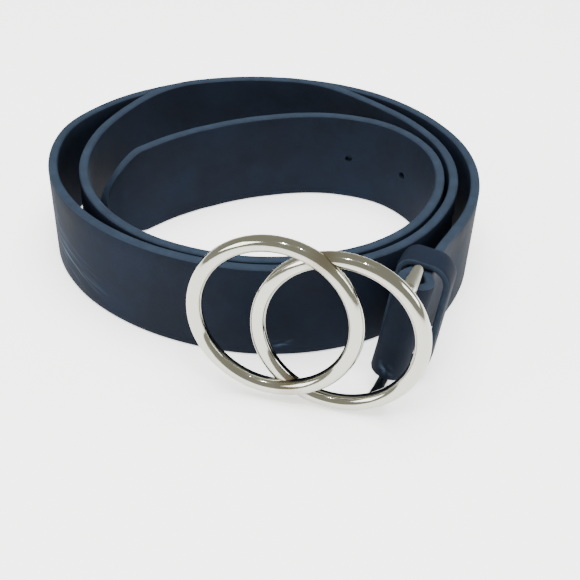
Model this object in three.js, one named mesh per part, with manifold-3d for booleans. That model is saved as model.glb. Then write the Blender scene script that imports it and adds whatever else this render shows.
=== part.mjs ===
// A double ring belt, unfastened and loosely coiled, standing on the edge of its strap.
// One leather strap winds inwards for about two and a half turns. Its outer end is folded
// round the bar of a buckle of two overlapping rings, and a loose leather keeper holds the
// fold. Millimetres, +Z up. The origin is on the table, under the middle of the whole belt.

import * as THREE from 'three';
import { mergeVertices } from 'three/addons/utils/BufferGeometryUtils.js';
import Module from 'manifold-3d';

const wasm = await Module();
wasm.setup();

// Strap
const strapWidth = 32;
const strapThickness = 3;
const strapBevel = 0.5; // worn-down corner along both edges
const tailLength = 17; // turned back behind the bar
const tipLength = 15; // over which the free end narrows
const tipPower = 1.5; // 2 is a round end, 1 a sharp one
const tipBlunt = 0.97; // share of the tip that is there before it is cut blunt

// Belt holes, along the middle of the strap near its free end
const holeDiameter = 2.4;
const holeCount = 5;
const holeSpacing = 22;
const firstHole = 92.5; // from the free end

// Coil, as it is seen from above
const coilRadius = 67.8; // furthest reach of the outermost turn's middle
const stationStep = 6.5; // length of strap between two sections

// Buckle
const ringDiameter = 49.5; // outside
const wireDiameter = 4.5;
const ringSpacing = 17.7; // between the two ring centres, across the buckle
const ringStagger = 2; // how far the left ring stands in front of the right one
const barDiameter = 2.2;
const barDepth = 12.8; // bar behind the plane of the right ring
const barReach = 14.9; // bar to the right of the right ring's centre
const armAngle = 52; // where the arms leave the right ring's wire, in degrees from its side
const armTipDiameter = 3;
const armRootDiameter = 4.4;
const studDiameter = 2;
const studLength = 3.5; // proud of the back of the left ring's wire, where it is furthest from the bar

// How the buckle hangs
const facingLeft = 13.5; // degrees that it is turned from the front
const leaningBack = 6.6;
const drooping = 7.2; // right side down, in its own plane
const strapHeading = 20; // degrees from straight back to the strap's line at the bar
const barPlace = { across: 0.605, forward: 0.978 }; // shares of the coil radius

// Keeper
const keeperBand = 9.6; // along the strap
const keeperThickness = 1.8;
const keeperSlackOut = 4.2; // beside the folded strap, on its outer side
const keeperSlackIn = 1.3;
const keeperRise = 0.5; // above the strap
const keeperDrop = 1.4; // below the strap, where the keeper hangs from its top edge
const keeperLean = 2; // degrees that its top leans to the strap's inner side
const keeperCorners = { topIn: 2.6, topOut: 4.4, bottomOut: 4.4, bottomIn: 1.2 }; // inside radii
const keeperSetback = 4.4; // from the bar's axis to the keeper

// Fold of the strap round the bar
const foldBulge = 1.2; // slack between the bar's clearance and the fold, on the outer side
const foldLoose = 0.4; // the same on the inner side
const legShift = 1.95; // the outer leg swings in towards the keeper by this much
const legGap = 0.4; // between the two legs inside the keeper
const closeLength = 6; // behind the bar, where the legs have come together

// Clearances
const barClear = 0.35; // between the bar and the fold
const armClear = 0.35; // between an arm and the strap's edge
const ringClear = 0.3; // below the lower ring
const straightRun = 14; // of strap behind the bar

// Mesh fineness
const wireSides = 12;
const ringSides = 60;
const rodSides = 12;
const holeSides = 10;
const foldSteps = 10;
const legSteps = 9;
const pathStep = 1.5; // degrees between the points that the stations are measured on

// Reach of the last full turn, from the front right round to the front right again.
// A bearing is counted clockwise from the back, as seen from above, and grows along
// the strap from its free end. The reach is a share of the coil radius.
const outerTurn = [
  { bearing: 480, reach: 0.885 },
  { bearing: 500, reach: 0.873 },
  { bearing: 520, reach: 0.845 },
  { bearing: 540, reach: 0.832 },
  { bearing: 560, reach: 0.836 },
  { bearing: 580, reach: 0.87 },
  { bearing: 600, reach: 0.926 },
  { bearing: 620, reach: 0.979 },
  { bearing: 640, reach: 1 },
  { bearing: 660, reach: 0.948 },
  { bearing: 680, reach: 0.883 },
  { bearing: 700, reach: 0.844 },
  { bearing: 720, reach: 0.832 },
  { bearing: 740, reach: 0.858 },
  { bearing: 760, reach: 0.901 },
  { bearing: 780, reach: 0.944 },
  { bearing: 800, reach: 0.984 },
  { bearing: 820, reach: 0.994 },
  { bearing: 840, reach: 0.99 },
];

// Free space between each earlier stretch and the turn outside it, as a share of the coil radius
const innerTurns = [
  { bearing: -97, space: 0.03 },
  { bearing: -92, space: 0.115 },
  { bearing: -84, space: 0.207 },
  { bearing: -70, space: 0.295 },
  { bearing: -55, space: 0.354 },
  { bearing: -40, space: 0.386 },
  { bearing: -20, space: 0.358 },
  { bearing: 0, space: 0.322 },
  { bearing: 20, space: 0.276 },
  { bearing: 40, space: 0.171 },
  { bearing: 60, space: 0.066 },
  { bearing: 80, space: 0.024 },
  { bearing: 100, space: 0.019 },
  { bearing: 120, space: 0.015 },
  { bearing: 140, space: 0.018 },
  { bearing: 160, space: 0.015 },
  { bearing: 180, space: 0.01 },
  { bearing: 200, space: 0.009 },
  { bearing: 220, space: 0.019 },
  { bearing: 240, space: 0.052 },
  { bearing: 260, space: 0.093 },
  { bearing: 280, space: 0.116 },
  { bearing: 300, space: 0.068 },
  { bearing: 320, space: 0.008 },
  { bearing: 340, space: 0.006 },
  { bearing: 360, space: 0.006 },
  { bearing: 380, space: 0.009 },
  { bearing: 400, space: 0.043 },
  { bearing: 420, space: 0.056 },
  { bearing: 440, space: 0.057 },
  { bearing: 460, space: 0.056 },
  { bearing: 480, space: 0.06 },
];

// Where the strap stands clear of the table, as a share of its width
const lifts = [
  { bearing: -97, rise: 0 },
  { bearing: 290, rise: 0 },
  { bearing: 330, rise: 0.06 },
  { bearing: 365, rise: 0.06 },
  { bearing: 410, rise: 0 },
  { bearing: 840, rise: 0 },
];

const leather = new THREE.MeshStandardMaterial({ color: 0x232b38, roughness: 0.48, metalness: 0 });
const keeperLeather = new THREE.MeshStandardMaterial({ color: 0x2b3443, roughness: 0.5, metalness: 0 });
const nickel = new THREE.MeshStandardMaterial({ color: 0xd2d0c6, roughness: 0.14, metalness: 1 });

const radians = THREE.MathUtils.degToRad;
const zAxis = new THREE.Vector3(0, 0, 1);

// A table's column at any bearing, on a smooth curve through its rows
function readTable(rows, column, bearing) {
  const last = rows.length - 2;
  let row = rows.findIndex((entry) => entry.bearing > bearing) - 1;
  if (row < 0) row = bearing < rows[0].bearing ? 0 : last;
  const slope = (index) => {
    const before = rows[Math.max(index - 1, 0)];
    const after = rows[Math.min(index + 1, rows.length - 1)];
    const turning = (rows[index][column] - before[column]) * (after[column] - rows[index][column]) <= 0;
    return turning ? 0 : (after[column] - before[column]) / (after.bearing - before.bearing);
  };
  const from = rows[row];
  const to = rows[row + 1];
  const span = to.bearing - from.bearing;
  const share = (bearing - from.bearing) / span;
  const square = share * share;
  const cube = square * share;
  return from[column] * (2 * cube - 3 * square + 1) + to[column] * (3 * square - 2 * cube)
    + slope(row) * span * (cube - 2 * square + share) + slope(row + 1) * span * (cube - square);
}

// Reach of the strap's middle at a bearing: each turn lies inside the next one
function reachAt(bearing) {
  if (bearing >= outerTurn[0].bearing) return coilRadius * readTable(outerTurn, 'reach', bearing);
  const space = coilRadius * readTable(innerTurns, 'space', bearing);
  return reachAt(bearing + 360) - strapThickness - space;
}

function coilPoint(bearing) {
  const reach = reachAt(bearing);
  const rise = strapWidth * readTable(lifts, 'rise', bearing);
  const angle = radians(90 - bearing);
  return new THREE.Vector3(reach * Math.cos(angle), reach * Math.sin(angle), strapWidth / 2 + rise);
}

// Buckle frame: across points to the buckle's right, up along its bar, and front out of its face
function buckleFrame() {
  const turn = radians(facingLeft);
  const lean = radians(leaningBack);
  const droop = radians(drooping);
  const front = new THREE.Vector3(
    -Math.sin(turn) * Math.cos(lean), -Math.cos(turn) * Math.cos(lean), Math.sin(lean));
  const level = new THREE.Vector3(Math.cos(turn), -Math.sin(turn), 0);
  const upright = new THREE.Vector3().crossVectors(front, level);
  const across = level.clone().multiplyScalar(Math.cos(droop)).addScaledVector(upright, -Math.sin(droop));
  const up = level.clone().multiplyScalar(Math.sin(droop)).addScaledVector(upright, Math.cos(droop));
  const wireReach = (ringDiameter - wireDiameter) / 2;
  const centreHeight = ringClear + wireDiameter / 2 + wireReach * Math.cos(lean);
  const barHeight = centreHeight + barReach * across.z - barDepth * front.z;
  const bar = new THREE.Vector3(
    coilRadius * barPlace.across, -coilRadius * barPlace.forward, barHeight);
  return { across, up, front, bar, wireReach };
}

const buckle = buckleFrame();

// Strap frame at the bar: back runs along the strap away from the buckle, out to its outer face
function endFrame() {
  const heading = radians(strapHeading);
  const back = new THREE.Vector3(Math.sin(heading), Math.cos(heading), 0);
  back.addScaledVector(buckle.up, -back.dot(buckle.up)).normalize();
  const out = new THREE.Vector3().crossVectors(back, buckle.up);
  const snug = barDiameter / 2 + barClear + strapThickness / 2;
  const legAtBar = snug + foldBulge;
  const tailAtBar = -snug - foldLoose;
  const leg = legAtBar - legShift;
  const tail = leg - strapThickness - legGap;
  return { back, out, up: buckle.up, legAtBar, tailAtBar, leg, tail };
}

const end = endFrame();

function nearBar(backwards, outwards, upwards) {
  return buckle.bar.clone().addScaledVector(end.back, backwards)
    .addScaledVector(end.out, outwards).addScaledVector(end.up, upwards);
}

// The strap's middle line from its free end to the end of the tail, with the direction of its width
function strapPath() {
  const path = [];
  const tipBearing = innerTurns[0].bearing;
  const endBearing = outerTurn[outerTurn.length - 1].bearing;
  const count = Math.round((endBearing - tipBearing) / pathStep);
  for (let step = 0; step <= count; step += 1) {
    path.push({ middle: coilPoint(tipBearing + (endBearing - tipBearing) * step / count), up: zAxis });
  }
  const leave = path[path.length - 1].middle;
  const leaveTowards = leave.clone().sub(path[path.length - 3].middle).normalize();
  const arrive = nearBar(straightRun, end.leg, 0);
  const handle = leave.distanceTo(arrive) / 3;
  const run = new THREE.CubicBezierCurve3(leave, leave.clone().addScaledVector(leaveTowards, handle),
    arrive.clone().addScaledVector(end.back, handle), arrive);
  const runSteps = Math.ceil(run.getLength());
  for (let step = 1; step <= runSteps; step += 1) {
    const share = step / runSteps;
    const twist = THREE.MathUtils.smoothstep(share, 0, 1);
    path.push({ middle: run.getPoint(share), up: zAxis.clone().lerp(end.up, twist).normalize() });
  }
  return path;
}

// Stations: where the sections of the strap lie along its middle line
function strapStations() {
  const path = strapPath();
  const lengths = [0];
  for (let index = 1; index < path.length; index += 1) {
    lengths.push(lengths[index - 1] + path[index].middle.distanceTo(path[index - 1].middle));
  }
  const total = lengths[lengths.length - 1];
  const at = (distance) => {
    let index = lengths.findIndex((length) => length > distance);
    if (index < 1) index = lengths.length - 1;
    const share = (distance - lengths[index - 1]) / (lengths[index] - lengths[index - 1]);
    return {
      middle: path[index - 1].middle.clone().lerp(path[index].middle, share),
      up: path[index - 1].up.clone().lerp(path[index].up, share).normalize(),
      along: path[index].middle.clone().sub(path[index - 1].middle).normalize(),
    };
  };

  const tipShares = [1 - tipBlunt, 0.07, 0.15, 0.26, 0.4, 0.57, 0.77, 1];
  const stations = tipShares.map((share) => {
    const narrowing = Math.pow(1 - share, tipPower);
    return { ...at(share * tipLength), height: strapWidth * Math.pow(1 - narrowing, 1 / tipPower) };
  });
  const steps = Math.round((total - tipLength) / stationStep);
  for (let step = 1; step <= steps; step += 1) {
    stations.push({ ...at(tipLength + (total - tipLength) * step / steps), height: strapWidth });
  }
  // each leg swings from its place beside the bar to its place in the keeper
  const legPlace = (behind, atBar, inKeeper) => {
    const offset = (distance) => atBar + (inKeeper - atBar) * THREE.MathUtils.smoothstep(distance, 0, closeLength);
    const along = nearBar(behind + 0.1, offset(behind + 0.1), 0).sub(nearBar(behind - 0.1, offset(behind - 0.1), 0));
    return { middle: nearBar(behind, offset(behind), 0), up: end.up, along: along.normalize(), height: strapWidth };
  };
  for (let step = 1; step < legSteps; step += 1) {
    const leg = legPlace(straightRun * (1 - step / legSteps), end.legAtBar, end.leg);
    stations.push({ ...leg, along: leg.along.negate() });
  }
  const foldRadius = (end.legAtBar - end.tailAtBar) / 2;
  const foldMiddle = (end.legAtBar + end.tailAtBar) / 2;
  const front = end.back.clone().negate();
  for (let step = 0; step <= foldSteps; step += 1) {
    const angle = Math.PI * step / foldSteps;
    const middle = nearBar(-foldRadius * Math.sin(angle), foldMiddle + foldRadius * Math.cos(angle), 0);
    const along = front.clone().multiplyScalar(Math.cos(angle)).addScaledVector(end.out, -Math.sin(angle));
    stations.push({ middle, up: end.up, along, height: strapWidth });
  }
  for (let step = 1; step <= legSteps; step += 1) {
    stations.push(legPlace(tailLength * step / legSteps, end.tailAtBar, end.tail));
  }
  return { stations, at };
}

// One closed skin through all sections, each a bevelled rectangle across the strap
function sweepStrap(stations) {
  const positions = [];
  const index = [];
  const corners = 8;
  for (const { middle, up, along, height } of stations) {
    const out = new THREE.Vector3().crossVectors(up, along).normalize();
    const upright = new THREE.Vector3().crossVectors(along, out).normalize();
    const half = height / 2;
    const thin = strapThickness / 2;
    const bevel = Math.min(strapBevel, half / 2);
    const section = [
      [thin, -half + bevel], [thin, half - bevel], [thin - bevel, half], [bevel - thin, half],
      [-thin, half - bevel], [-thin, -half + bevel], [bevel - thin, -half], [thin - bevel, -half],
    ];
    for (const [outwards, upwards] of section) {
      const corner = middle.clone().addScaledVector(out, outwards).addScaledVector(upright, upwards);
      positions.push(corner.x, corner.y, corner.z);
    }
  }
  for (let station = 0; station + 1 < stations.length; station += 1) {
    for (let corner = 0; corner < corners; corner += 1) {
      const next = (corner + 1) % corners;
      const a = station * corners + corner;
      const b = station * corners + next;
      index.push(a, b, b + corners, a, b + corners, a + corners);
    }
  }
  const first = (stations.length - 1) * corners;
  for (let corner = 1; corner + 1 < corners; corner += 1) {
    index.push(0, corner + 1, corner);
    index.push(first, first + corner, first + corner + 1);
  }
  const geometry = new THREE.BufferGeometry();
  geometry.setAttribute('position', new THREE.Float32BufferAttribute(positions, 3));
  geometry.setIndex(index);
  return geometry;
}

function toSolid(geometry) {
  const plain = geometry.clone();
  plain.deleteAttribute('normal');
  plain.deleteAttribute('uv');
  const merged = mergeVertices(plain);
  return new wasm.Manifold(new wasm.Mesh({
    numProp: 3,
    vertProperties: new Float32Array(merged.attributes.position.array),
    triVerts: new Uint32Array(merged.index.array),
  }));
}

function toGeometry(solid) {
  const mesh = solid.getMesh();
  const geometry = new THREE.BufferGeometry();
  geometry.setAttribute('position', new THREE.Float32BufferAttribute(mesh.vertProperties, 3));
  geometry.setIndex(Array.from(mesh.triVerts));
  geometry.computeVertexNormals();
  return geometry;
}

// A round rod from one point to another, thicker at one end if its two radii differ
function rod(from, to, fromRadius, toRadius) {
  const reach = to.clone().sub(from);
  const geometry = new THREE.CylinderGeometry(toRadius, fromRadius, reach.length(), rodSides);
  geometry.translate(0, reach.length() / 2, 0);
  const turn = new THREE.Quaternion().setFromUnitVectors(new THREE.Vector3(0, 1, 0), reach.normalize());
  geometry.applyQuaternion(turn);
  geometry.translate(from.x, from.y, from.z);
  return toSolid(geometry);
}

function ball(centre, radius) {
  const geometry = new THREE.SphereGeometry(radius, rodSides, rodSides / 2);
  geometry.translate(centre.x, centre.y, centre.z);
  return toSolid(geometry);
}

function makeStrap() {
  const { stations, at } = strapStations();
  let solid = toSolid(sweepStrap(stations));
  for (let hole = 0; hole < holeCount; hole += 1) {
    const { middle, up, along } = at(firstHole + hole * holeSpacing);
    const through = new THREE.Vector3().crossVectors(up, along).normalize();
    const from = middle.clone().addScaledVector(through, -strapThickness);
    const to = middle.clone().addScaledVector(through, strapThickness);
    const punch = new THREE.CylinderGeometry(
      holeDiameter / 2, holeDiameter / 2, from.distanceTo(to), holeSides);
    punch.applyQuaternion(new THREE.Quaternion().setFromUnitVectors(new THREE.Vector3(0, 1, 0), through));
    punch.translate(middle.x, middle.y, middle.z);
    solid = solid.subtract(toSolid(punch));
  }
  const mesh = new THREE.Mesh(toGeometry(solid), leather);
  mesh.name = 'strap';
  return mesh;
}

// Outline of the keeper: a box with four different round corners, grown outwards by a wall
function keeperOutline(outline, wall) {
  const left = end.tail - strapThickness / 2 - keeperSlackIn - wall;
  const right = end.leg + strapThickness / 2 + keeperSlackOut + wall;
  const top = strapWidth / 2 + keeperRise + wall;
  const bottom = -strapWidth / 2 - keeperDrop - wall;
  const topIn = keeperCorners.topIn + wall;
  const topOut = keeperCorners.topOut + wall;
  const bottomOut = keeperCorners.bottomOut + wall;
  const bottomIn = keeperCorners.bottomIn + wall;
  outline.moveTo(left + bottomIn, bottom);
  outline.lineTo(right - bottomOut, bottom);
  outline.absarc(right - bottomOut, bottom + bottomOut, bottomOut, -Math.PI / 2, 0);
  outline.lineTo(right, top - topOut);
  outline.absarc(right - topOut, top - topOut, topOut, 0, Math.PI / 2);
  outline.lineTo(left + topIn, top);
  outline.absarc(left + topIn, top - topIn, topIn, Math.PI / 2, Math.PI);
  outline.lineTo(left, bottom + bottomIn);
  outline.absarc(left + bottomIn, bottom + bottomIn, bottomIn, Math.PI, Math.PI * 1.5);
  return outline;
}

function makeKeeper() {
  const outline = keeperOutline(new THREE.Shape(), keeperThickness);
  outline.holes.push(keeperOutline(new THREE.Path(), 0));
  const geometry = new THREE.ExtrudeGeometry(outline, { depth: keeperBand, bevelEnabled: false, curveSegments: 6 });
  // the loop's own x runs to the strap's outer side, y up and z forwards along the strap
  const place = new THREE.Matrix4().makeBasis(end.out, end.up, end.back.clone().negate());
  place.setPosition(nearBar(keeperSetback + keeperBand, 0, 0));
  geometry.rotateZ(radians(keeperLean));
  geometry.applyMatrix4(place);
  const mesh = new THREE.Mesh(geometry, keeperLeather);
  mesh.name = 'keeper_loop';
  return mesh;
}

// A point of the buckle, from the right ring's centre
function onBuckle(across, up, front) {
  return buckle.bar.clone().addScaledVector(buckle.across, across - barReach)
    .addScaledVector(buckle.up, up).addScaledVector(buckle.front, front + barDepth);
}

function ring(across, front) {
  const geometry = new THREE.TorusGeometry(buckle.wireReach, wireDiameter / 2, wireSides, ringSides);
  const place = new THREE.Matrix4().makeBasis(buckle.across, buckle.up, buckle.front);
  place.setPosition(onBuckle(across, 0, front));
  geometry.applyMatrix4(place);
  return toSolid(geometry);
}

function makeBuckle() {
  // the arms thicken towards the ring, and pass above and below the fold in front of the bar
  const foldReach = (end.legAtBar - end.tailAtBar + strapThickness) / 2 / barDepth;
  const armAtFold = THREE.MathUtils.lerp(armTipDiameter, armRootDiameter, foldReach) / 2;
  const barHalf = strapWidth / 2 + armClear + armAtFold;
  const armRoot = {
    across: buckle.wireReach * Math.cos(radians(armAngle)),
    up: buckle.wireReach * Math.sin(radians(armAngle)),
  };
  const pieces = [ring(0, 0), ring(-ringSpacing, ringStagger)];
  for (const side of [1, -1]) {
    const root = onBuckle(armRoot.across, side * armRoot.up, 0);
    const tip = onBuckle(barReach, side * barHalf, -barDepth);
    pieces.push(rod(root, tip, armRootDiameter / 2, armTipDiameter / 2), ball(tip, armTipDiameter / 2));
  }
  const barFrom = onBuckle(barReach, -barHalf, -barDepth);
  const barTo = onBuckle(barReach, barHalf, -barDepth);
  pieces.push(rod(barFrom, barTo, barDiameter / 2, barDiameter / 2));
  const studAcross = -ringSpacing - buckle.wireReach;
  const studRoot = onBuckle(studAcross, 0, ringStagger);
  const studTip = onBuckle(studAcross, 0, ringStagger - wireDiameter / 2 - studLength + studDiameter / 2);
  pieces.push(rod(studRoot, studTip, studDiameter / 2, studDiameter / 2), ball(studTip, studDiameter / 2));
  const solid = pieces.reduce((whole, piece) => whole.add(piece));
  const mesh = new THREE.Mesh(toGeometry(solid), nickel);
  mesh.name = 'double_ring_buckle';
  return mesh;
}

const belt = new THREE.Group();
belt.name = 'double_ring_belt';
belt.add(makeStrap(), makeKeeper(), makeBuckle());
const middle = new THREE.Box3().setFromObject(belt).getCenter(new THREE.Vector3());
belt.position.set(-middle.x, -middle.y, 0);

export default belt;
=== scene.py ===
import math
from bisect import bisect_left
import bpy
from mathutils import Matrix, Vector


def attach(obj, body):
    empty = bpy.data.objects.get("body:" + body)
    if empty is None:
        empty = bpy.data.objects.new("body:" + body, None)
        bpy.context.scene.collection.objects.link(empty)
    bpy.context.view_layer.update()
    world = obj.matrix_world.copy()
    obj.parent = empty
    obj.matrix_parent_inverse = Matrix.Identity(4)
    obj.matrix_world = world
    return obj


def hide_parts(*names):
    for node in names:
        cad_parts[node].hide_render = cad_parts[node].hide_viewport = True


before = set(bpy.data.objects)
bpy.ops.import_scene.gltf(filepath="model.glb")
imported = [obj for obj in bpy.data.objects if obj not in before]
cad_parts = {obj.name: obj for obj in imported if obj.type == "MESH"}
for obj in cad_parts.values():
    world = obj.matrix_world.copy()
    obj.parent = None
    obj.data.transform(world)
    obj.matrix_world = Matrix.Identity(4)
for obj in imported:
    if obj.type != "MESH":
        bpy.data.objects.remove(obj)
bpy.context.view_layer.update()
mm = 0.001
noiseRange = (0.3, 0.7)  # where most values of a noise texture lie
print("frame loaded:", ", ".join(sorted(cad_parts)))


# helpers

def linearColour(hexCode, alpha=1.0):
    values = [int(hexCode[i:i + 2], 16) / 255 for i in (1, 3, 5)]
    return [v / 12.92 if v <= 0.04045 else ((v + 0.055) / 1.055) ** 2.4 for v in values] + [alpha]


def addNode(tree, kind, settings=None, inputs=None):
    node = tree.nodes.new(kind)
    for name, value in (settings or {}).items():
        setattr(node, name, value)
    for key, value in (inputs or {}).items():
        if isinstance(value, bpy.types.NodeSocket):
            tree.links.new(value, node.inputs[key])
        else:
            node.inputs[key].default_value = value
    return node


def newMaterial(name):
    material = bpy.data.materials.new(name)
    material.use_nodes = True
    return material, material.node_tree, material.node_tree.nodes["Principled BSDF"]


def meshObject(name, points, faces, material=None, edges=()):
    mesh = bpy.data.meshes.new(name)
    mesh.from_pydata([tuple(p) for p in points], list(edges), faces)
    piece = bpy.data.objects.new(name, mesh)
    bpy.context.scene.collection.objects.link(piece)
    if material:
        mesh.materials.append(material)
    return piece


def evaluatedMesh(piece, name):
    graph = bpy.context.evaluated_depsgraph_get()
    graph.update()
    mesh = bpy.data.meshes.new_from_object(piece.evaluated_get(graph))
    mesh.name = name
    return mesh


# smooth curve through a table's rows, level where the values turn back
def readTable(rows, bearing):
    last = len(rows) - 1
    row = 0
    while row < last - 1 and rows[row + 1][0] <= bearing:
        row += 1

    def slope(i):
        before, here, after = rows[max(i - 1, 0)], rows[i], rows[min(i + 1, last)]
        if (here[1] - before[1]) * (after[1] - here[1]) <= 0:
            return 0.0
        return (after[1] - before[1]) / (after[0] - before[0])

    span = rows[row + 1][0] - rows[row][0]
    s = (bearing - rows[row][0]) / span
    return (rows[row][1] * (2 * s**3 - 3 * s**2 + 1) + rows[row + 1][1] * (3 * s**2 - 2 * s**3)
            + slope(row) * span * (s**3 - 2 * s**2 + s) + slope(row + 1) * span * (s**3 - s**2))


def smoothStep(value, low, high):
    s = min(max((value - low) / (high - low), 0.0), 1.0)
    return s * s * (3 - 2 * s)


# camera: a close view from above the front of the belt

view = {
    "place": (10.254, -260.059, 198.25),  # mm, from the point under the belt's middle
    "pitch": 38.854,
    "roll": 2.621,
    "lens": 61.26,
}
cameraData = bpy.data.cameras.new("beltCamera")
cameraData.sensor_width = 36
cameraData.lens = view["lens"]
cameraData.clip_start = 0.01
camera = bpy.data.objects.new("beltCamera", cameraData)
camera.matrix_world = (Matrix.Translation(Vector(view["place"]) * mm)
                       @ Matrix.Rotation(math.radians(90 - view["pitch"]), 4, "X")
                       @ Matrix.Rotation(math.radians(view["roll"]), 4, "Z"))
bpy.context.scene.collection.objects.link(camera)
bpy.context.scene.camera = camera


# buckle frame: across to its right, up along its bar, front out of its face

buckle = {
    "ringDiameter": 49.5,
    "wireDiameter": 4.5,
    "ringSpacing": 17.7,
    "ringStagger": 2.0,
    "barDiameter": 2.2,
    "barDepth": 12.8,
    "barReach": 14.9,
    "armAngle": 52.0,
    "armTipDiameter": 3.0,
    "armRootDiameter": 4.4,
    "armHalfSpan": 18.14,
    "armCollar": (0.17, 1.02),  # the arm stays thick to here: share of its length, and of its root
    "armNeck": (0.3, 0.92),
    "armSteps": 5,
    "studDiameter": 2.0,
    "studLength": 3.5,
    "facingLeft": 13.5,
    "leaningBack": 6.6,
    "drooping": 7.2,
    "bar": (41.113, -53.758, 21.575),
    "strapHeading": 20.0,
    "wireFacets": 40,
    "ringFacets": 220,
    "armFacets": 32,
    "rodFacets": 24,  # bar and stud
    "sharpAngle": 35,
}
turn, lean, droop = (math.radians(buckle[k]) for k in ("facingLeft", "leaningBack", "drooping"))
front = Vector((-math.sin(turn) * math.cos(lean), -math.cos(turn) * math.cos(lean), math.sin(lean)))
level = Vector((math.cos(turn), -math.sin(turn), 0))
upright = front.cross(level)
across = level * math.cos(droop) - upright * math.sin(droop)
barUp = level * math.sin(droop) + upright * math.cos(droop)
barMiddle = Vector(buckle["bar"])
ringCentre = barMiddle - across * buckle["barReach"] + front * buckle["barDepth"]
wireReach = (buckle["ringDiameter"] - buckle["wireDiameter"]) / 2
buckleMatrix = Matrix.Translation(ringCentre * mm) @ Matrix((across, barUp, front)).transposed().to_4x4()

# strap's line at the bar
heading = math.radians(buckle["strapHeading"])
back = Vector((math.sin(heading), math.cos(heading), 0))
back = (back - barUp * back.dot(barUp)).normalized()
outward = back.cross(barUp)


def nearBar(behind, out, up=0.0):
    return barMiddle + back * behind + outward * out + barUp * up


# materials

# Coated leather: split leather with a thin pressed finish, so it has a soft sheen, a faint pore
# grain and, where it was bent, short pale creases.
leatherLook = {
    "deep": "#141820",
    "blue": "#181f2c",
    "pale": "#44566a",
    "poreSize": 0.55,  # mm; real pores are nearer 0.2 mm, too fine to show
    "poreDepth": 0.12,
    "poreStrength": 0.22,
    "waveSize": 9.0,
    "waveDepth": 0.4,
    "waveStrength": 0.35,
    "cloudSize": 28.0,
    "cloudBand": (0.32, 0.72),
    "creaseWidth": 1.6,
    "creaseScale": 1.6,
    "creaseStretch": 0.55,
    "creaseBand": (0.42, 0.74),
    "creaseDepth": 0.4,
    "creaseStrength": 0.3,
    "roughness": (0.56, 0.68),
    "shine": 0.025,
}


def leatherMaterial(name, look, creases):
    material, tree, shader = newMaterial(name)
    uv = addNode(tree, "ShaderNodeUVMap", {"uv_map": "leatherUv"})  # metres along and across
    cloud = addNode(tree, "ShaderNodeTexNoise", {}, {
        "Vector": uv.outputs[0], "Scale": 1 / (look["cloudSize"] * mm), "Detail": 3, "Roughness": 0.6})
    tone = addNode(tree, "ShaderNodeValToRGB", {}, {"Fac": cloud.outputs["Fac"]})
    tone.color_ramp.elements[0].position = look["cloudBand"][0]
    tone.color_ramp.elements[0].color = linearColour(look["deep"])
    tone.color_ramp.elements[1].position = look["cloudBand"][1]
    tone.color_ramp.elements[1].color = linearColour(look["blue"])
    colour = tone.outputs["Color"]
    pores = addNode(tree, "ShaderNodeTexVoronoi", {"feature": "F1"}, {
        "Vector": uv.outputs[0], "Scale": 1 / (look["poreSize"] * mm), "Randomness": 1})
    poreBump = addNode(tree, "ShaderNodeBump", {}, {
        "Strength": look["poreStrength"], "Distance": look["poreDepth"] * mm,
        "Height": pores.outputs["Distance"]})
    waves = addNode(tree, "ShaderNodeTexNoise", {}, {
        "Vector": uv.outputs[0], "Scale": 1 / (look["waveSize"] * mm), "Detail": 2})
    bump = addNode(tree, "ShaderNodeBump", {}, {
        "Strength": look["waveStrength"], "Distance": look["waveDepth"] * mm,
        "Height": waves.outputs["Fac"], "Normal": poreBump.outputs["Normal"]})
    normal = bump.outputs["Normal"]
    # each crease patch is a soft oval of streaks that run along it
    for crease in creases:
        streakRows = crease["breadth"] / look["creaseWidth"] / look["creaseScale"]
        place = addNode(tree, "ShaderNodeMapping", {"vector_type": "TEXTURE"}, {
            "Vector": uv.outputs[0], "Location": (crease["along"] * mm, crease["up"] * mm, 0),
            "Rotation": (0, 0, math.radians(crease["turn"])),
            "Scale": (crease["length"] * mm, crease["breadth"] * mm, 1)})
        patch = addNode(tree, "ShaderNodeTexGradient", {"gradient_type": "SPHERICAL"}, {
            "Vector": place.outputs[0]})
        lines = addNode(tree, "ShaderNodeMapping", {}, {
            "Vector": place.outputs[0], "Scale": (look["creaseStretch"], streakRows, 1)})
        streaks = addNode(tree, "ShaderNodeTexNoise", {}, {
            "Vector": lines.outputs[0], "Scale": look["creaseScale"], "Detail": 2, "Roughness": 0.5})
        sharp = addNode(tree, "ShaderNodeMapRange", {"interpolation_type": "SMOOTHSTEP"}, {
            "Value": streaks.outputs["Fac"],
            "From Min": look["creaseBand"][0], "From Max": look["creaseBand"][1]})
        both = addNode(tree, "ShaderNodeMath", {"operation": "MULTIPLY"}, {
            0: sharp.outputs[0], 1: patch.outputs["Fac"]})
        weight = addNode(tree, "ShaderNodeMath", {"operation": "MULTIPLY", "use_clamp": True}, {
            0: both.outputs[0], 1: crease["strength"]})
        paler = addNode(tree, "ShaderNodeMix", {"data_type": "RGBA"}, {
            "Factor": weight.outputs[0], 6: colour, 7: linearColour(look["pale"])})
        colour = paler.outputs[2]
        ridge = addNode(tree, "ShaderNodeBump", {}, {
            "Strength": look["creaseStrength"], "Distance": look["creaseDepth"] * mm,
            "Height": weight.outputs[0], "Normal": normal})
        normal = ridge.outputs["Normal"]
    gloss = addNode(tree, "ShaderNodeMapRange", {}, {
        "Value": cloud.outputs["Fac"], "From Min": noiseRange[0], "From Max": noiseRange[1],
        "To Min": look["roughness"][0], "To Max": look["roughness"][1]})
    tree.links.new(colour, shader.inputs["Base Color"])
    tree.links.new(gloss.outputs[0], shader.inputs["Roughness"])
    tree.links.new(normal, shader.inputs["Normal"])
    shader.inputs["IOR"].default_value = 1.5
    shader.inputs["Specular IOR Level"].default_value = look["shine"]
    return material


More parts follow.
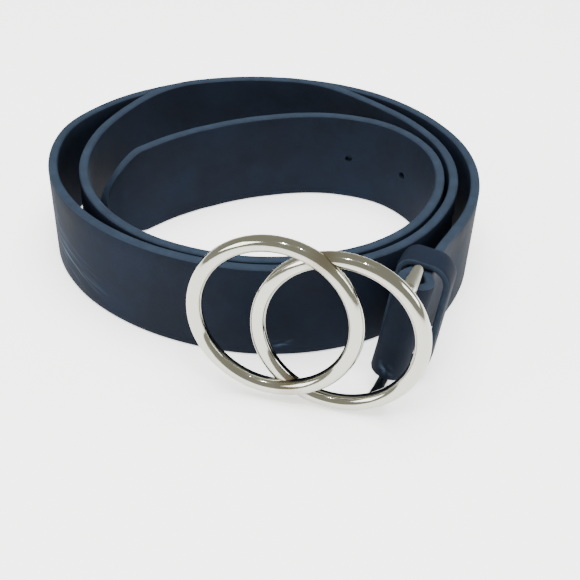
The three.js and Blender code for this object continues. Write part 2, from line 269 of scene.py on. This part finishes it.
# Painted edge: the cut edge is sealed with a thick matt paint. It is a little paler than the faces, and
# that paleness is painted light: it stands in for the light from above on the top edges.
edgeLook = {
    # both edge tones are paler than the leather faces: painted light from above on the top edges
    "dark": "#1f2732",
    "light": "#252f3c",
    "toneBand": (0.3, 0.75),
    "grain": 5.0,  # mm
    "grainDepth": 0.2,
    "grainStrength": 0.15,
    "roughness": 0.7,
    "shine": 0.06,
}


def edgeMaterial(name, look):
    material, tree, shader = newMaterial(name)
    uv = addNode(tree, "ShaderNodeUVMap", {"uv_map": "leatherUv"})
    streaks = addNode(tree, "ShaderNodeTexNoise", {}, {
        "Vector": uv.outputs[0], "Scale": 1 / (look["grain"] * mm), "Detail": 4, "Roughness": 0.6})
    # the edge colour between these tones is paler than the faces as painted light from above
    tone = addNode(tree, "ShaderNodeValToRGB", {}, {"Fac": streaks.outputs["Fac"]})
    tone.color_ramp.elements[0].position = look["toneBand"][0]
    tone.color_ramp.elements[0].color = linearColour(look["dark"])
    tone.color_ramp.elements[1].position = look["toneBand"][1]
    tone.color_ramp.elements[1].color = linearColour(look["light"])
    bump = addNode(tree, "ShaderNodeBump", {}, {
        "Strength": look["grainStrength"], "Distance": look["grainDepth"] * mm,
        "Height": streaks.outputs["Fac"]})
    tree.links.new(tone.outputs["Color"], shader.inputs["Base Color"])
    tree.links.new(bump.outputs["Normal"], shader.inputs["Normal"])
    shader.inputs["Roughness"].default_value = look["roughness"]
    shader.inputs["IOR"].default_value = 1.5
    shader.inputs["Specular IOR Level"].default_value = look["shine"]
    return material


# Polished nickel plate on cast zinc: mirror bright and slightly warm, with a faint ripple left by
# the polishing and a brown bloom where the rings were soldered.
nickelLook = {
    "plate": "#adada2",
    "bloom": "#8a7458",
    "ripple": 7.0,  # mm
    "rippleDepth": 0.6,
    "rippleStrength": 0.12,
    "roughness": (0.07, 0.14),
    "bloomSize": 5.5,
    "satin": 0.5,  # roughness of the upper arm, which is left as cast
    "satinSize": 13.0,
    "satinFade": (0.05, 0.35),
    "satinInset": 1.0,  # from the arm's tip towards the rings
}


def nickelMaterial(name, look, solderPoints, armPoints):
    material, tree, shader = newMaterial(name)
    place = addNode(tree, "ShaderNodeTexCoord")
    ripple = addNode(tree, "ShaderNodeTexNoise", {}, {
        "Vector": place.outputs["Object"], "Scale": 1 / (look["ripple"] * mm), "Detail": 2})
    bump = addNode(tree, "ShaderNodeBump", {}, {
        "Strength": look["rippleStrength"], "Distance": look["rippleDepth"] * mm,
        "Height": ripple.outputs["Fac"]})
    gloss = addNode(tree, "ShaderNodeMapRange", {}, {
        "Value": ripple.outputs["Fac"], "From Min": noiseRange[0], "From Max": noiseRange[1],
        "To Min": look["roughness"][0], "To Max": look["roughness"][1]})
    colour = None
    for point in solderPoints:
        centred = addNode(tree, "ShaderNodeMapping", {"vector_type": "TEXTURE"}, {
            "Vector": place.outputs["Object"], "Location": tuple(point),
            "Scale": (look["bloomSize"] * mm,) * 3})
        spot = addNode(tree, "ShaderNodeTexGradient", {"gradient_type": "SPHERICAL"}, {
            "Vector": centred.outputs[0]})
        mix = addNode(tree, "ShaderNodeMix", {"data_type": "RGBA"}, {
            "Factor": spot.outputs["Fac"], 6: colour or linearColour(look["plate"]),
            7: linearColour(look["bloom"])})
        colour = mix.outputs[2]
    roughness = gloss.outputs[0]
    for point in armPoints:
        centred = addNode(tree, "ShaderNodeMapping", {"vector_type": "TEXTURE"}, {
            "Vector": place.outputs["Object"], "Location": tuple(point),
            "Scale": (look["satinSize"] * mm,) * 3})
        spot = addNode(tree, "ShaderNodeTexGradient", {"gradient_type": "SPHERICAL"}, {
            "Vector": centred.outputs[0]})
        near = addNode(tree, "ShaderNodeMapRange", {"interpolation_type": "SMOOTHSTEP"}, {
            "Value": spot.outputs["Fac"],
            "From Min": look["satinFade"][0], "From Max": look["satinFade"][1]})
        duller = addNode(tree, "ShaderNodeMix", {}, {
            "Factor": near.outputs[0], "A": roughness, "B": look["satin"]})
        roughness = duller.outputs["Result"]
    tree.links.new(colour, shader.inputs["Base Color"])
    tree.links.new(roughness, shader.inputs["Roughness"])
    tree.links.new(bump.outputs["Normal"], shader.inputs["Normal"])
    shader.inputs["Metallic"].default_value = 1
    return material


# strap

strap = {
    "width": 32.0,
    "thickness": 3.0,
    "edgeRadius": 0.95,
    "tailLength": 17.0,
    "tipLength": 15.0,
    "tipSharpness": 1.5,
    "coilRadius": 67.8,
    "coilMiddle": (0.094, 12.551),
    "sectionStep": 1.5,
    "bearingStep": 1.5,  # degrees
    "tipStart": 0.008,  # first section, as a share of the tip
    "tipSteps": 25,
    "bendSteps": 30,
    "legSteps": 14,
    "foldSteps": 18,
    "slopeReach": 0.8,
    "cornerSteps": 4,
    "faceSteps": 8,
    "paintedShare": 0.6,  # of the rounded corner
    "sharpAngle": 50,
    "holeDiameter": 2.6,
    "holeFacets": 24,
    "holeCount": 5,
    "holeSpacing": 22.0,
    "firstHole": 92.5,
    "legAtBar": 4.15,
    "tailAtBar": -3.35,
    "leg": 2.2,
    "tail": -1.2,
    "closeLength": 6.0,
    "straightRun": 14.0,
}
# bearing from the back, clockwise, and the reach as a share of the coil radius
outerTurn = [
    (480, 0.885), (500, 0.873), (520, 0.845), (540, 0.832), (560, 0.836), (580, 0.87), (600, 0.926),
    (620, 0.979), (640, 1.0), (660, 0.948), (680, 0.883), (700, 0.844), (720, 0.832), (740, 0.858),
    (760, 0.901), (780, 0.944), (800, 0.984), (820, 0.994), (840, 0.99),
]
# space to the turn outside
innerTurns = [
    (-97, 0.03), (-92, 0.115), (-84, 0.207), (-70, 0.295), (-55, 0.354), (-40, 0.386), (-20, 0.358),
    (0, 0.322), (20, 0.276), (40, 0.171), (60, 0.066), (80, 0.024), (100, 0.019), (120, 0.015),
    (140, 0.018), (160, 0.015), (180, 0.01), (200, 0.009), (220, 0.019), (240, 0.052), (260, 0.093),
    (280, 0.116), (300, 0.068), (320, 0.008), (340, 0.006), (360, 0.006), (380, 0.009), (400, 0.043),
    (420, 0.056), (440, 0.057), (460, 0.056), (480, 0.06),
]
# clear of the table, as a share of the width
lifts = [(-97, 0), (290, 0), (330, 0.06), (365, 0.06), (410, 0), (840, 0)]


def reachAt(bearing):
    if bearing >= outerTurn[0][0]:
        return strap["coilRadius"] * readTable(outerTurn, bearing)
    space = strap["coilRadius"] * readTable(innerTurns, bearing)
    return reachAt(bearing + 360) - strap["thickness"] - space


def coilPoint(bearing):
    angle = math.radians(90 - bearing)
    rise = strap["width"] * readTable(lifts, bearing)
    middle = strap["coilMiddle"]
    return Vector((middle[0] + reachAt(bearing) * math.cos(angle),
                   middle[1] + reachAt(bearing) * math.sin(angle), strap["width"] / 2 + rise))


# middle of the strap from its free end to its tail, with the direction of its width
def strapRoute():
    first, last, turnStep = innerTurns[0][0], outerTurn[-1][0], strap["bearingStep"]
    bearings = [first + turnStep * i for i in range(int((last - first) / turnStep) + 1)] + [last]
    route = [(coilPoint(bearing), Vector((0, 0, 1))) for bearing in bearings]
    leave = route[-1][0]
    leaveTowards = (leave - route[-3][0]).normalized()
    arrive = nearBar(strap["straightRun"], strap["leg"])
    reach = (arrive - leave).length / 3
    handles = (leave, leave + leaveTowards * reach, arrive + back * reach, arrive)
    for step in range(1, strap["bendSteps"] + 1):
        s = step / strap["bendSteps"]
        weights = ((1 - s)**3, 3 * s * (1 - s)**2, 3 * s * s * (1 - s), s**3)
        point = sum((h * w for h, w in zip(handles, weights)), Vector())
        route.append((point, Vector((0, 0, 1)).lerp(barUp, smoothStep(s, 0, 1)).normalized()))

    def legPoint(behind, atBar, inKeeper):
        return nearBar(behind, atBar + (inKeeper - atBar) * smoothStep(behind, 0, strap["closeLength"]))

    legSteps, foldSteps = strap["legSteps"], strap["foldSteps"]
    for step in range(1, legSteps + 1):
        behind = strap["straightRun"] * (1 - step / legSteps)
        route.append((legPoint(behind, strap["legAtBar"], strap["leg"]), barUp))
    radius = (strap["legAtBar"] - strap["tailAtBar"]) / 2
    middle = (strap["legAtBar"] + strap["tailAtBar"]) / 2
    for step in range(1, foldSteps + 1):
        angle = math.pi * step / foldSteps
        route.append((nearBar(-radius * math.sin(angle), middle + radius * math.cos(angle)), barUp))
    for step in range(1, legSteps + 1):
        behind = strap["tailLength"] * step / legSteps
        route.append((legPoint(behind, strap["tailAtBar"], strap["tail"]), barUp))
    return route


def routeLengths(route):
    lengths = [0.0]
    for before, after in zip(route, route[1:]):
        lengths.append(lengths[-1] + (after[0] - before[0]).length)
    return lengths


def pointOnRoute(route, lengths, distance):
    index = bisect_left(lengths, distance, 1, len(lengths) - 1)
    share = (distance - lengths[index - 1]) / (lengths[index] - lengths[index - 1])
    middle = route[index - 1][0].lerp(route[index][0], share)
    return middle, route[index - 1][1].lerp(route[index][1], share).normalized()


# outline of a band's section: rounded corners, and points along its two tall faces
def softBox(halfWide, halfHigh, radius, cornerSteps, faceSteps):
    radius = min(radius, halfHigh * 0.95)  # the tip's first sections are lower than the rounding
    outline = []
    corners = ((1, 1, 0), (-1, 1, 90), (-1, -1, 180), (1, -1, 270))
    for sideways, upwards, start in corners:
        for step in range(cornerSteps + 1):
            angle = math.radians(start + 90 * step / cornerSteps)
            outline.append((sideways * (halfWide - radius) + radius * math.cos(angle),
                            upwards * (halfHigh - radius) + radius * math.sin(angle)))
        if start in (90, 270):
            top, bottom = (1, -1) if start == 90 else (-1, 1)
            for step in range(1, faceSteps):
                s = step / faceSteps
                high = (top * (1 - s) + bottom * s) * (halfHigh - radius)
                outline.append((sideways * halfWide, high))
    return outline


# skin over rings of points; uvs gives the metres along and around for each point
def sweep(name, sections, uvs, closed, materials, faceMaterial):
    count = len(sections[0])
    points = [p * mm for section in sections for p in section]
    faces, slots, corners = [], [], []
    last = len(sections) if closed else len(sections) - 1
    for i in range(last):
        j = (i + 1) % len(sections)
        for k in range(count):
            m = (k + 1) % count
            faces.append((i * count + k, i * count + m, j * count + m, j * count + k))
            slots.append(faceMaterial[k])
            aroundNext = uvs[1][k + 1]
            corners.append(((uvs[0][i], uvs[1][k]), (uvs[0][i], aroundNext),
                            (uvs[0][i + 1], aroundNext), (uvs[0][i + 1], uvs[1][k])))
    if not closed:
        faces.append(tuple(reversed(range(count))))
        faces.append(tuple(range((len(sections) - 1) * count, len(sections) * count)))
        slots += [1, 1]
        corners.append([(uvs[0][0], uvs[1][k]) for k in reversed(range(count))])
        corners.append([(uvs[0][-1], uvs[1][k]) for k in range(count)])
    piece = meshObject(name, points, faces)
    for material in materials:
        piece.data.materials.append(material)
    layer = piece.data.uv_layers.new(name="leatherUv")
    for polygon, slot, corner in zip(piece.data.polygons, slots, corners):
        polygon.material_index = slot
        polygon.use_smooth = True
        for loop, uv in zip(polygon.loop_indices, corner):
            layer.data[loop].uv = uv
    return piece


# 1, the edge paint (paler, with painted light from above), past this height of the section, else 0, the
# leather
def paintSlots(outline, paintedFrom):
    pairs = zip(outline, outline[1:] + outline[:1])
    return [1 if abs(a[1] + b[1]) / 2 > paintedFrom else 0 for a, b in pairs]


def aroundLengths(outline):
    lengths = [0.0]
    for a, b in zip(outline, outline[1:] + outline[:1]):
        lengths.append(lengths[-1] + math.hypot(b[0] - a[0], b[1] - a[1]) * mm)
    return lengths


# punches along a path: trimmed to the holed stretch, one cylinder at each point
def holePunchTree(radius, depth, facets):
    tree = bpy.data.node_groups.new("beltHoles", "GeometryNodeTree")
    tree.interface.new_socket("Geometry", in_out="INPUT", socket_type="NodeSocketGeometry")
    tree.interface.new_socket("First hole", in_out="INPUT", socket_type="NodeSocketFloat")
    tree.interface.new_socket("Last hole", in_out="INPUT", socket_type="NodeSocketFloat")
    tree.interface.new_socket("Count", in_out="INPUT", socket_type="NodeSocketInt")
    tree.interface.new_socket("Material", in_out="INPUT", socket_type="NodeSocketMaterial")
    tree.interface.new_socket("Geometry", in_out="OUTPUT", socket_type="NodeSocketGeometry")
    given = addNode(tree, "NodeGroupInput")
    path = addNode(tree, "GeometryNodeMeshToCurve", {}, {"Mesh": given.outputs["Geometry"]})
    trimmed = addNode(tree, "GeometryNodeTrimCurve", {"mode": "LENGTH"}, {
        "Curve": path.outputs[0], 4: given.outputs["First hole"], 5: given.outputs["Last hole"]})
    spots = addNode(tree, "GeometryNodeCurveToPoints", {"mode": "COUNT"}, {
        "Curve": trimmed.outputs[0], "Count": given.outputs["Count"]})
    punch = addNode(tree, "GeometryNodeMeshCylinder", {}, {
        "Vertices": facets, "Radius": radius, "Depth": depth})
    sideways = addNode(tree, "ShaderNodeVectorMath", {"operation": "CROSS_PRODUCT"}, {
        0: spots.outputs["Tangent"], 1: (0, 0, 1)})
    aim = addNode(tree, "FunctionNodeAlignRotationToVector", {"axis": "Z"}, {
        "Vector": sideways.outputs[0]})
    placed = addNode(tree, "GeometryNodeInstanceOnPoints", {}, {
        "Points": spots.outputs["Points"], "Instance": punch.outputs[0], "Rotation": aim.outputs[0]})
    real = addNode(tree, "GeometryNodeRealizeInstances", {}, {"Geometry": placed.outputs[0]})
    finished = addNode(tree, "GeometryNodeSetMaterial", {}, {
        "Geometry": real.outputs[0], "Material": given.outputs["Material"]})
    addNode(tree, "NodeGroupOutput", {}, {"Geometry": finished.outputs[0]})
    return tree


def setInputs(modifier, values):
    for item in modifier.node_group.interface.items_tree:
        if item.item_type == "SOCKET" and item.in_out == "INPUT" and item.name in values:
            modifier[item.identifier] = values[item.name]


def buildStrap(faceLeather, edgePaintAndTopLight):
    route = strapRoute()
    lengths = routeLengths(route)
    total = lengths[-1]
    distances = []
    tip, tipStart = strap["tipLength"], strap["tipStart"]
    for step in range(strap["tipSteps"] + 1):
        # closer together towards the point
        distances.append(tip * (tipStart + (1 - tipStart) * (step / strap["tipSteps"]) ** 2))
    steps = round((total - tip) / strap["sectionStep"])
    distances += [tip + (total - tip) * step / steps for step in range(1, steps + 1)]
    half = strap["width"] / 2
    fineness = (strap["edgeRadius"], strap["cornerSteps"], strap["faceSteps"])
    outline = softBox(strap["thickness"] / 2, half, *fineness)
    sections = []
    for distance in distances:
        middle, up = pointOnRoute(route, lengths, distance)
        ahead = pointOnRoute(route, lengths, min(distance + strap["slopeReach"], total))[0]
        behind = pointOnRoute(route, lengths, max(distance - strap["slopeReach"], 0))[0]
        along = (ahead - behind).normalized()
        out = up.cross(along).normalized()
        upNow = along.cross(out).normalized()
        share = min(distance / tip, 1)
        high = half * (1 - (1 - share) ** strap["tipSharpness"]) ** (1 / strap["tipSharpness"])
        section = softBox(strap["thickness"] / 2, high, *fineness)
        sections.append([middle + out * x + upNow * y for x, y in section])
    slots = paintSlots(outline, half - strap["edgeRadius"] * strap["paintedShare"])
    piece = sweep("leatherStrap", sections, ([d * mm for d in distances], aroundLengths(outline)),
                  False, (faceLeather, edgePaintAndTopLight), slots)

    path = meshObject("holePath", [p * mm for p, up in route], [],
                      edges=[(i, i + 1) for i in range(len(route) - 1)])
    tree = holePunchTree(strap["holeDiameter"] / 2 * mm, strap["thickness"] * 2 * mm,
                         strap["holeFacets"])
    modifier = path.modifiers.new("beltHoles", "NODES")
    modifier.node_group = tree
    setInputs(modifier, {
        "First hole": strap["firstHole"] * mm,
        "Last hole": (strap["firstHole"] + strap["holeSpacing"] * (strap["holeCount"] - 1)) * mm,
        "Count": strap["holeCount"], "Material": edgePaintAndTopLight})
    punches = bpy.data.objects.new("punches", evaluatedMesh(path, "punches"))
    bpy.context.scene.collection.objects.link(punches)
    path.modifiers.clear()
    bpy.data.objects.remove(path)
    cut = piece.modifiers.new("holes", "BOOLEAN")
    cut.object = punches
    cut.operation = "DIFFERENCE"
    cut.solver = "EXACT"
    mesh = evaluatedMesh(piece, "leatherStrap")
    piece.modifiers.clear()
    piece.data = mesh
    bpy.data.objects.remove(punches)
    mesh.set_sharp_from_angle(angle=math.radians(strap["sharpAngle"]))
    print("strap:", len(mesh.polygons), "faces,", round(total), "mm long")
    return piece


# keeper

keeper = {
    "band": 9.6,
    "thickness": 1.8,
    "slackOut": 4.2,
    "slackIn": 1.3,
    "rise": 0.5,
    "drop": 1.4,
    "lean": 2.0,
    "corners": (2.6, 4.4, 4.4, 1.2),  # top in, top out, bottom out, bottom in
    "setback": 4.4,
    "edgeRadius": 0.55,
    "swell": 0.25,  # its wall bellies out this much in the middle of the band
    "cornerStep": 9,  # degrees
    "wallStep": 1.5,
    "edgeSteps": 3,
    "faceSteps": 6,
    "paintedShare": 0.6,
}


# middle line of the loop's wall, as out and up, with the angle of its outward normal
def keeperOutline():
    wall = keeper["thickness"] / 2
    thin = strap["thickness"] / 2
    left = strap["tail"] - thin - keeper["slackIn"] - wall
    right = strap["leg"] + thin + keeper["slackOut"] + wall
    top = strap["width"] / 2 + keeper["rise"] + wall
    bottom = -strap["width"] / 2 - keeper["drop"] - wall
    topIn, topOut, bottomOut, bottomIn = (r + wall for r in keeper["corners"])
    corners = (
        (right - topOut, top - topOut, topOut, 0),
        (left + topIn, top - topIn, topIn, 90),
        (left + bottomIn, bottom + bottomIn, bottomIn, 180),
        (right - bottomOut, bottom + bottomOut, bottomOut, 270),
    )
    marks = []
    for x, y, radius, start in corners:
        for degrees in range(0, 91, keeper["cornerStep"]):
            angle = math.radians(start + degrees)
            marks.append((x + radius * math.cos(angle), y + radius * math.sin(angle), angle))
    line = []
    for i, mark in enumerate(marks):
        following = marks[(i + 1) % len(marks)]
        gap = math.hypot(following[0] - mark[0], following[1] - mark[1])
        parts = max(1, round(gap / keeper["wallStep"]))
        for part in range(parts):
            s = part / parts
            line.append((mark[0] + (following[0] - mark[0]) * s,
                         mark[1] + (following[1] - mark[1]) * s, mark[2]))
    return line


def buildKeeper(faceLeather, edgePaintAndTopLight):
    turnIn = math.radians(keeper["lean"])
    line = keeperOutline()
    outline = softBox(keeper["thickness"] / 2, keeper["band"] / 2, keeper["edgeRadius"],
                      keeper["edgeSteps"], keeper["faceSteps"])
    sections, along = [], [0.0]
    centre = keeper["setback"] + keeper["band"] / 2
    for x, y, angle in line:
        section = []
        for wall, wide in outline:
            swell = keeper["swell"] * (1 - (2 * wide / keeper["band"]) ** 2)
            px = x + (wall + swell) * math.cos(angle)
            py = y + (wall + swell) * math.sin(angle)
            rx = px * math.cos(turnIn) - py * math.sin(turnIn)
            ry = px * math.sin(turnIn) + py * math.cos(turnIn)
            section.append(nearBar(centre + wide, rx, ry))
        sections.append(section)
    for i in range(len(line)):
        following = line[(i + 1) % len(line)]
        along.append(along[-1] + math.hypot(following[0] - line[i][0], following[1] - line[i][1]) * mm)
    slots = paintSlots(outline, keeper["band"] / 2 - keeper["edgeRadius"] * keeper["paintedShare"])
    piece = sweep("leatherKeeper", sections, (along, aroundLengths(outline)), True,
                  (faceLeather, edgePaintAndTopLight), slots)
    print("keeper:", len(piece.data.polygons), "faces")
    return piece


# buckle pieces

# one wire ring, set on two points a ring spacing apart
def ringPairTree():
    tree = bpy.data.node_groups.new("ringPair", "GeometryNodeTree")
    for name in ("Ring radius", "Wire radius", "Spacing", "Stagger"):
        tree.interface.new_socket(name, in_out="INPUT", socket_type="NodeSocketFloat")
    for name in ("Ring facets", "Wire facets"):
        tree.interface.new_socket(name, in_out="INPUT", socket_type="NodeSocketInt")
    tree.interface.new_socket("Material", in_out="INPUT", socket_type="NodeSocketMaterial")
    tree.interface.new_socket("Geometry", in_out="OUTPUT", socket_type="NodeSocketGeometry")
    given = addNode(tree, "NodeGroupInput")
    loop = addNode(tree, "GeometryNodeCurvePrimitiveCircle", {}, {
        "Resolution": given.outputs["Ring facets"], "Radius": given.outputs["Ring radius"]})
    wire = addNode(tree, "GeometryNodeCurvePrimitiveCircle", {}, {
        "Resolution": given.outputs["Wire facets"], "Radius": given.outputs["Wire radius"]})
    ring = addNode(tree, "GeometryNodeCurveToMesh", {}, {
        "Curve": loop.outputs[0], "Profile Curve": wire.outputs[0]})
    toLeft = addNode(tree, "ShaderNodeMath", {"operation": "MULTIPLY"}, {
        0: given.outputs["Spacing"], 1: -1.0})
    offset = addNode(tree, "ShaderNodeCombineXYZ", {}, {
        "X": toLeft.outputs[0], "Z": given.outputs["Stagger"]})
    spots = addNode(tree, "GeometryNodeMeshLine", {"mode": "OFFSET"}, {
        "Count": 2, "Offset": offset.outputs[0]})
    placed = addNode(tree, "GeometryNodeInstanceOnPoints", {}, {
        "Points": spots.outputs[0], "Instance": ring.outputs[0]})
    real = addNode(tree, "GeometryNodeRealizeInstances", {}, {"Geometry": placed.outputs[0]})
    finished = addNode(tree, "GeometryNodeSetMaterial", {}, {
        "Geometry": real.outputs[0], "Material": given.outputs["Material"]})
    addNode(tree, "NodeGroupOutput", {}, {"Geometry": finished.outputs[0]})
    return tree


# rod from start to end; each row of its profile is a share of its length and a radius
def turnedRod(name, start, end, profile, material, facets):
    axis = (end - start).normalized()
    side = axis.orthogonal().normalized()
    other = axis.cross(side)
    points, faces = [start + (end - start) * profile[0][0]], []
    for share, radius in profile[1:-1]:
        centre = start + (end - start) * share
        for k in range(facets):
            angle = 2 * math.pi * k / facets
            points.append(centre + (side * math.cos(angle) + other * math.sin(angle)) * radius)
    points.append(start + (end - start) * profile[-1][0])
    rings = len(profile) - 2
    for k in range(facets):
        m = (k + 1) % facets
        faces.append((0, 1 + m, 1 + k))
        for r in range(rings - 1):
            a, b = 1 + r * facets, 1 + (r + 1) * facets
            faces.append((a + k, a + m, b + m, b + k))
        a = 1 + (rings - 1) * facets
        faces.append((a + k, a + m, len(points) - 1))
    return meshObject(name, [p * mm for p in points], faces, material)


# profile rows of a half ball at the end of a rod of this length
def roundEnd(radius, length, steps=6):
    rows = []
    for step in range(steps + 1):
        angle = math.pi / 2 * step / steps
        rows.append((1 + (radius * math.sin(angle)) / length, radius * math.cos(angle)))
    rows[-1] = (rows[-1][0], 0)
    return rows


def onBuckle(x, y, z):
    return ringCentre + across * x + barUp * y + front * z


def buildBuckle(nickel):
    holder = meshObject("ringHolder", [], [])
    modifier = holder.modifiers.new("ringPair", "NODES")
    modifier.node_group = ringPairTree()
    setInputs(modifier, {
        "Ring radius": wireReach * mm, "Wire radius": buckle["wireDiameter"] / 2 * mm,
        "Spacing": buckle["ringSpacing"] * mm, "Stagger": buckle["ringStagger"] * mm,
        "Ring facets": buckle["ringFacets"], "Wire facets": buckle["wireFacets"], "Material": nickel})
    mesh = evaluatedMesh(holder, "ringPair")
    mesh.transform(buckleMatrix)
    rings = bpy.data.objects.new("rings", mesh)
    bpy.context.scene.collection.objects.link(rings)
    holder.modifiers.clear()
    bpy.data.objects.remove(holder)

    rods = []
    angle = math.radians(buckle["armAngle"])
    tipRadius, rootRadius = buckle["armTipDiameter"] / 2, buckle["armRootDiameter"] / 2
    collarAt, collarShare = buckle["armCollar"]
    neckAt, neckShare = buckle["armNeck"]
    neckRadius = rootRadius * neckShare
    for side in (1, -1):
        root = onBuckle(wireReach * math.cos(angle), side * wireReach * math.sin(angle), 0)
        tip = onBuckle(buckle["barReach"], side * buckle["armHalfSpan"], -buckle["barDepth"])
        length = (tip - root).length
        profile = [(0, 0), (0, rootRadius), (collarAt, rootRadius * collarShare), (neckAt, neckRadius)]
        for step in range(1, buckle["armSteps"] + 1):
            s = step / buckle["armSteps"]
            profile.append((neckAt + (1 - neckAt) * s, neckRadius + (tipRadius - neckRadius) * s))
        profile += roundEnd(tipRadius, length)[1:]
        rods.append(turnedRod("arm", root, tip, profile, nickel, buckle["armFacets"]))
    barRadius = buckle["barDiameter"] / 2
    low = onBuckle(buckle["barReach"], -buckle["armHalfSpan"], -buckle["barDepth"])
    high = onBuckle(buckle["barReach"], buckle["armHalfSpan"], -buckle["barDepth"])
    rods.append(turnedRod("bar", low, high, [(0, 0), (0, barRadius), (1, barRadius), (1, 0)],
                          nickel, buckle["rodFacets"]))
    studRadius = buckle["studDiameter"] / 2
    # the stud stands behind the left ring's wire, where it is furthest from the bar
    studAcross = -buckle["ringSpacing"] - wireReach
    studDepth = buckle["wireDiameter"] / 2 + buckle["studLength"] - studRadius
    studRoot = onBuckle(studAcross, 0, buckle["ringStagger"])
    studTip = onBuckle(studAcross, 0, buckle["ringStagger"] - studDepth)
    studLength = (studTip - studRoot).length
    studProfile = [(0, 0), (0, studRadius), (1, studRadius)] + roundEnd(studRadius, studLength)[1:]
    rods.append(turnedRod("stud", studRoot, studTip, studProfile, nickel, buckle["rodFacets"]))
    for rod in rods:
        union = rings.modifiers.new("join", "BOOLEAN")
        union.object = rod
        union.operation = "UNION"
        union.solver = "EXACT"
        union.use_self = True  # the two rings run into each other where they are soldered
    mesh = evaluatedMesh(rings, "nickelBuckle")
    rings.modifiers.clear()
    for rod in rods:
        bpy.data.objects.remove(rod)
    bpy.data.objects.remove(rings)
    piece = bpy.data.objects.new("nickelBuckle", mesh)
    bpy.context.scene.collection.objects.link(piece)
    for polygon in mesh.polygons:
        polygon.use_smooth = True
    mesh.set_sharp_from_angle(angle=math.radians(buckle["sharpAngle"]))
    print("buckle:", len(mesh.polygons), "faces")
    return piece


# where the two wires cross, in the plane of the rings
crossHigh = math.sqrt(wireReach**2 - (buckle["ringSpacing"] / 2) ** 2)
solderPoints = [onBuckle(-buckle["ringSpacing"] / 2, side * crossHigh, buckle["ringStagger"] / 2) * mm
                for side in (1, -1)]
armPoints = [onBuckle(buckle["barReach"] - nickelLook["satinInset"], buckle["armHalfSpan"],
                      -buckle["barDepth"]) * mm]

# along the strap from its free end, and round its section: 5 to 34 is its inner face, 39 to 68 its outer
strapCreases = [
    {"along": 646, "up": 48, "turn": 12, "length": 21, "breadth": 8, "strength": 0.7},
    {"along": 655, "up": 57, "turn": 24, "length": 12, "breadth": 6, "strength": 0.5},
    {"along": 571, "up": 42, "turn": -8, "length": 4.5, "breadth": 1.8, "strength": 0.7},
    {"along": 949.5, "up": 41, "turn": 62, "length": 3, "breadth": 2, "strength": 0.9},
]
strapLeather = leatherMaterial("coatedLeatherBlack", leatherLook, strapCreases)
keeperLeather = leatherMaterial("coatedLeatherKeeper", leatherLook, [])
edgePaintAndTopLight = edgeMaterial("edgePaintSlateAndTopLight", edgeLook)
polishedNickel = nickelMaterial("polishedNickelPlate", nickelLook, solderPoints, armPoints)
print("materials made")

leatherStrap = buildStrap(strapLeather, edgePaintAndTopLight)
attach(leatherStrap, "belt")
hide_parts("strap")

leatherKeeper = buildKeeper(keeperLeather, edgePaintAndTopLight)
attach(leatherKeeper, "belt")
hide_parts("keeper_loop")

nickelBuckle = buildBuckle(polishedNickel)
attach(nickelBuckle, "buckle")
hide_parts("double_ring_buckle")


# floor and light

studio = {
    "floor": "#ffffff",
    "floorHalf": 3,  # metres
    "floorGlow": 1.1,
    "horizon": "#dad8ca",
    "sky": "#d0cebf",
    "skyBand": (0.05, 0.5),  # the horizon's colour turns to the sky's between these heights
    "skyStrength": 0.8,
    "aim": (0, 0, 0.02),
    "lights": [
        # name, place, size, watts
        ("overhead", (0.0, 0.0, 0.9), 0.8, 24),
        ("frontLeft", (-0.75, -0.45, 0.5), 0.45, 5.5),
        ("right", (0.85, -0.1, 0.4), 0.4, 4.5),
        ("bulbLeft", (-0.14, -0.35, 0.8), 0.022, 1.1),
        ("bulbRight", (0.11, -0.33, 0.82), 0.022, 1.1),
    ],
}
floorMaterial, floorTree, floorShader = newMaterial("paleFloor")
floorShader.inputs["Base Color"].default_value = linearColour(studio["floor"])
floorShader.inputs["Roughness"].default_value = 0.9
floorShader.inputs["Specular IOR Level"].default_value = 0.1
floorShader.inputs["Emission Color"].default_value = linearColour(studio["floor"])
floorShader.inputs["Emission Strength"].default_value = studio["floorGlow"]
half = studio["floorHalf"]
floor = meshObject("floor", [(-half, -half, 0), (half, -half, 0), (half, half, 0), (-half, half, 0)],
                   [(0, 1, 2, 3)], floorMaterial)
for name, place, width, watts in studio["lights"]:
    light = bpy.data.lights.new(name, "AREA")
    light.shape = "SQUARE"
    light.size = width
    light.energy = watts
    lamp = bpy.data.objects.new(name, light)
    lamp.visible_glossy = name != "overhead"  # a soft box too wide to show in the wire
    lamp.location = place
    lamp.rotation_euler = (Vector(studio["aim"]) - Vector(place)).to_track_quat("-Z", "Y").to_euler()
    bpy.context.scene.collection.objects.link(lamp)
world = bpy.data.worlds.new("paleStudio")
bpy.context.scene.world = world
world.use_nodes = True
sky = world.node_tree
direction = addNode(sky, "ShaderNodeTexCoord")
parts = addNode(sky, "ShaderNodeSeparateXYZ", {}, {0: direction.outputs["Generated"]})
band = addNode(sky, "ShaderNodeValToRGB", {}, {"Fac": parts.outputs["Z"]})
band.color_ramp.elements[0].position = studio["skyBand"][0]
band.color_ramp.elements[0].color = linearColour(studio["horizon"])
band.color_ramp.elements[1].position = studio["skyBand"][1]
band.color_ramp.elements[1].color = linearColour(studio["sky"])
sky.links.new(band.outputs["Color"], sky.nodes["Background"].inputs["Color"])
sky.nodes["Background"].inputs["Strength"].default_value = studio["skyStrength"]
print("studio lit")
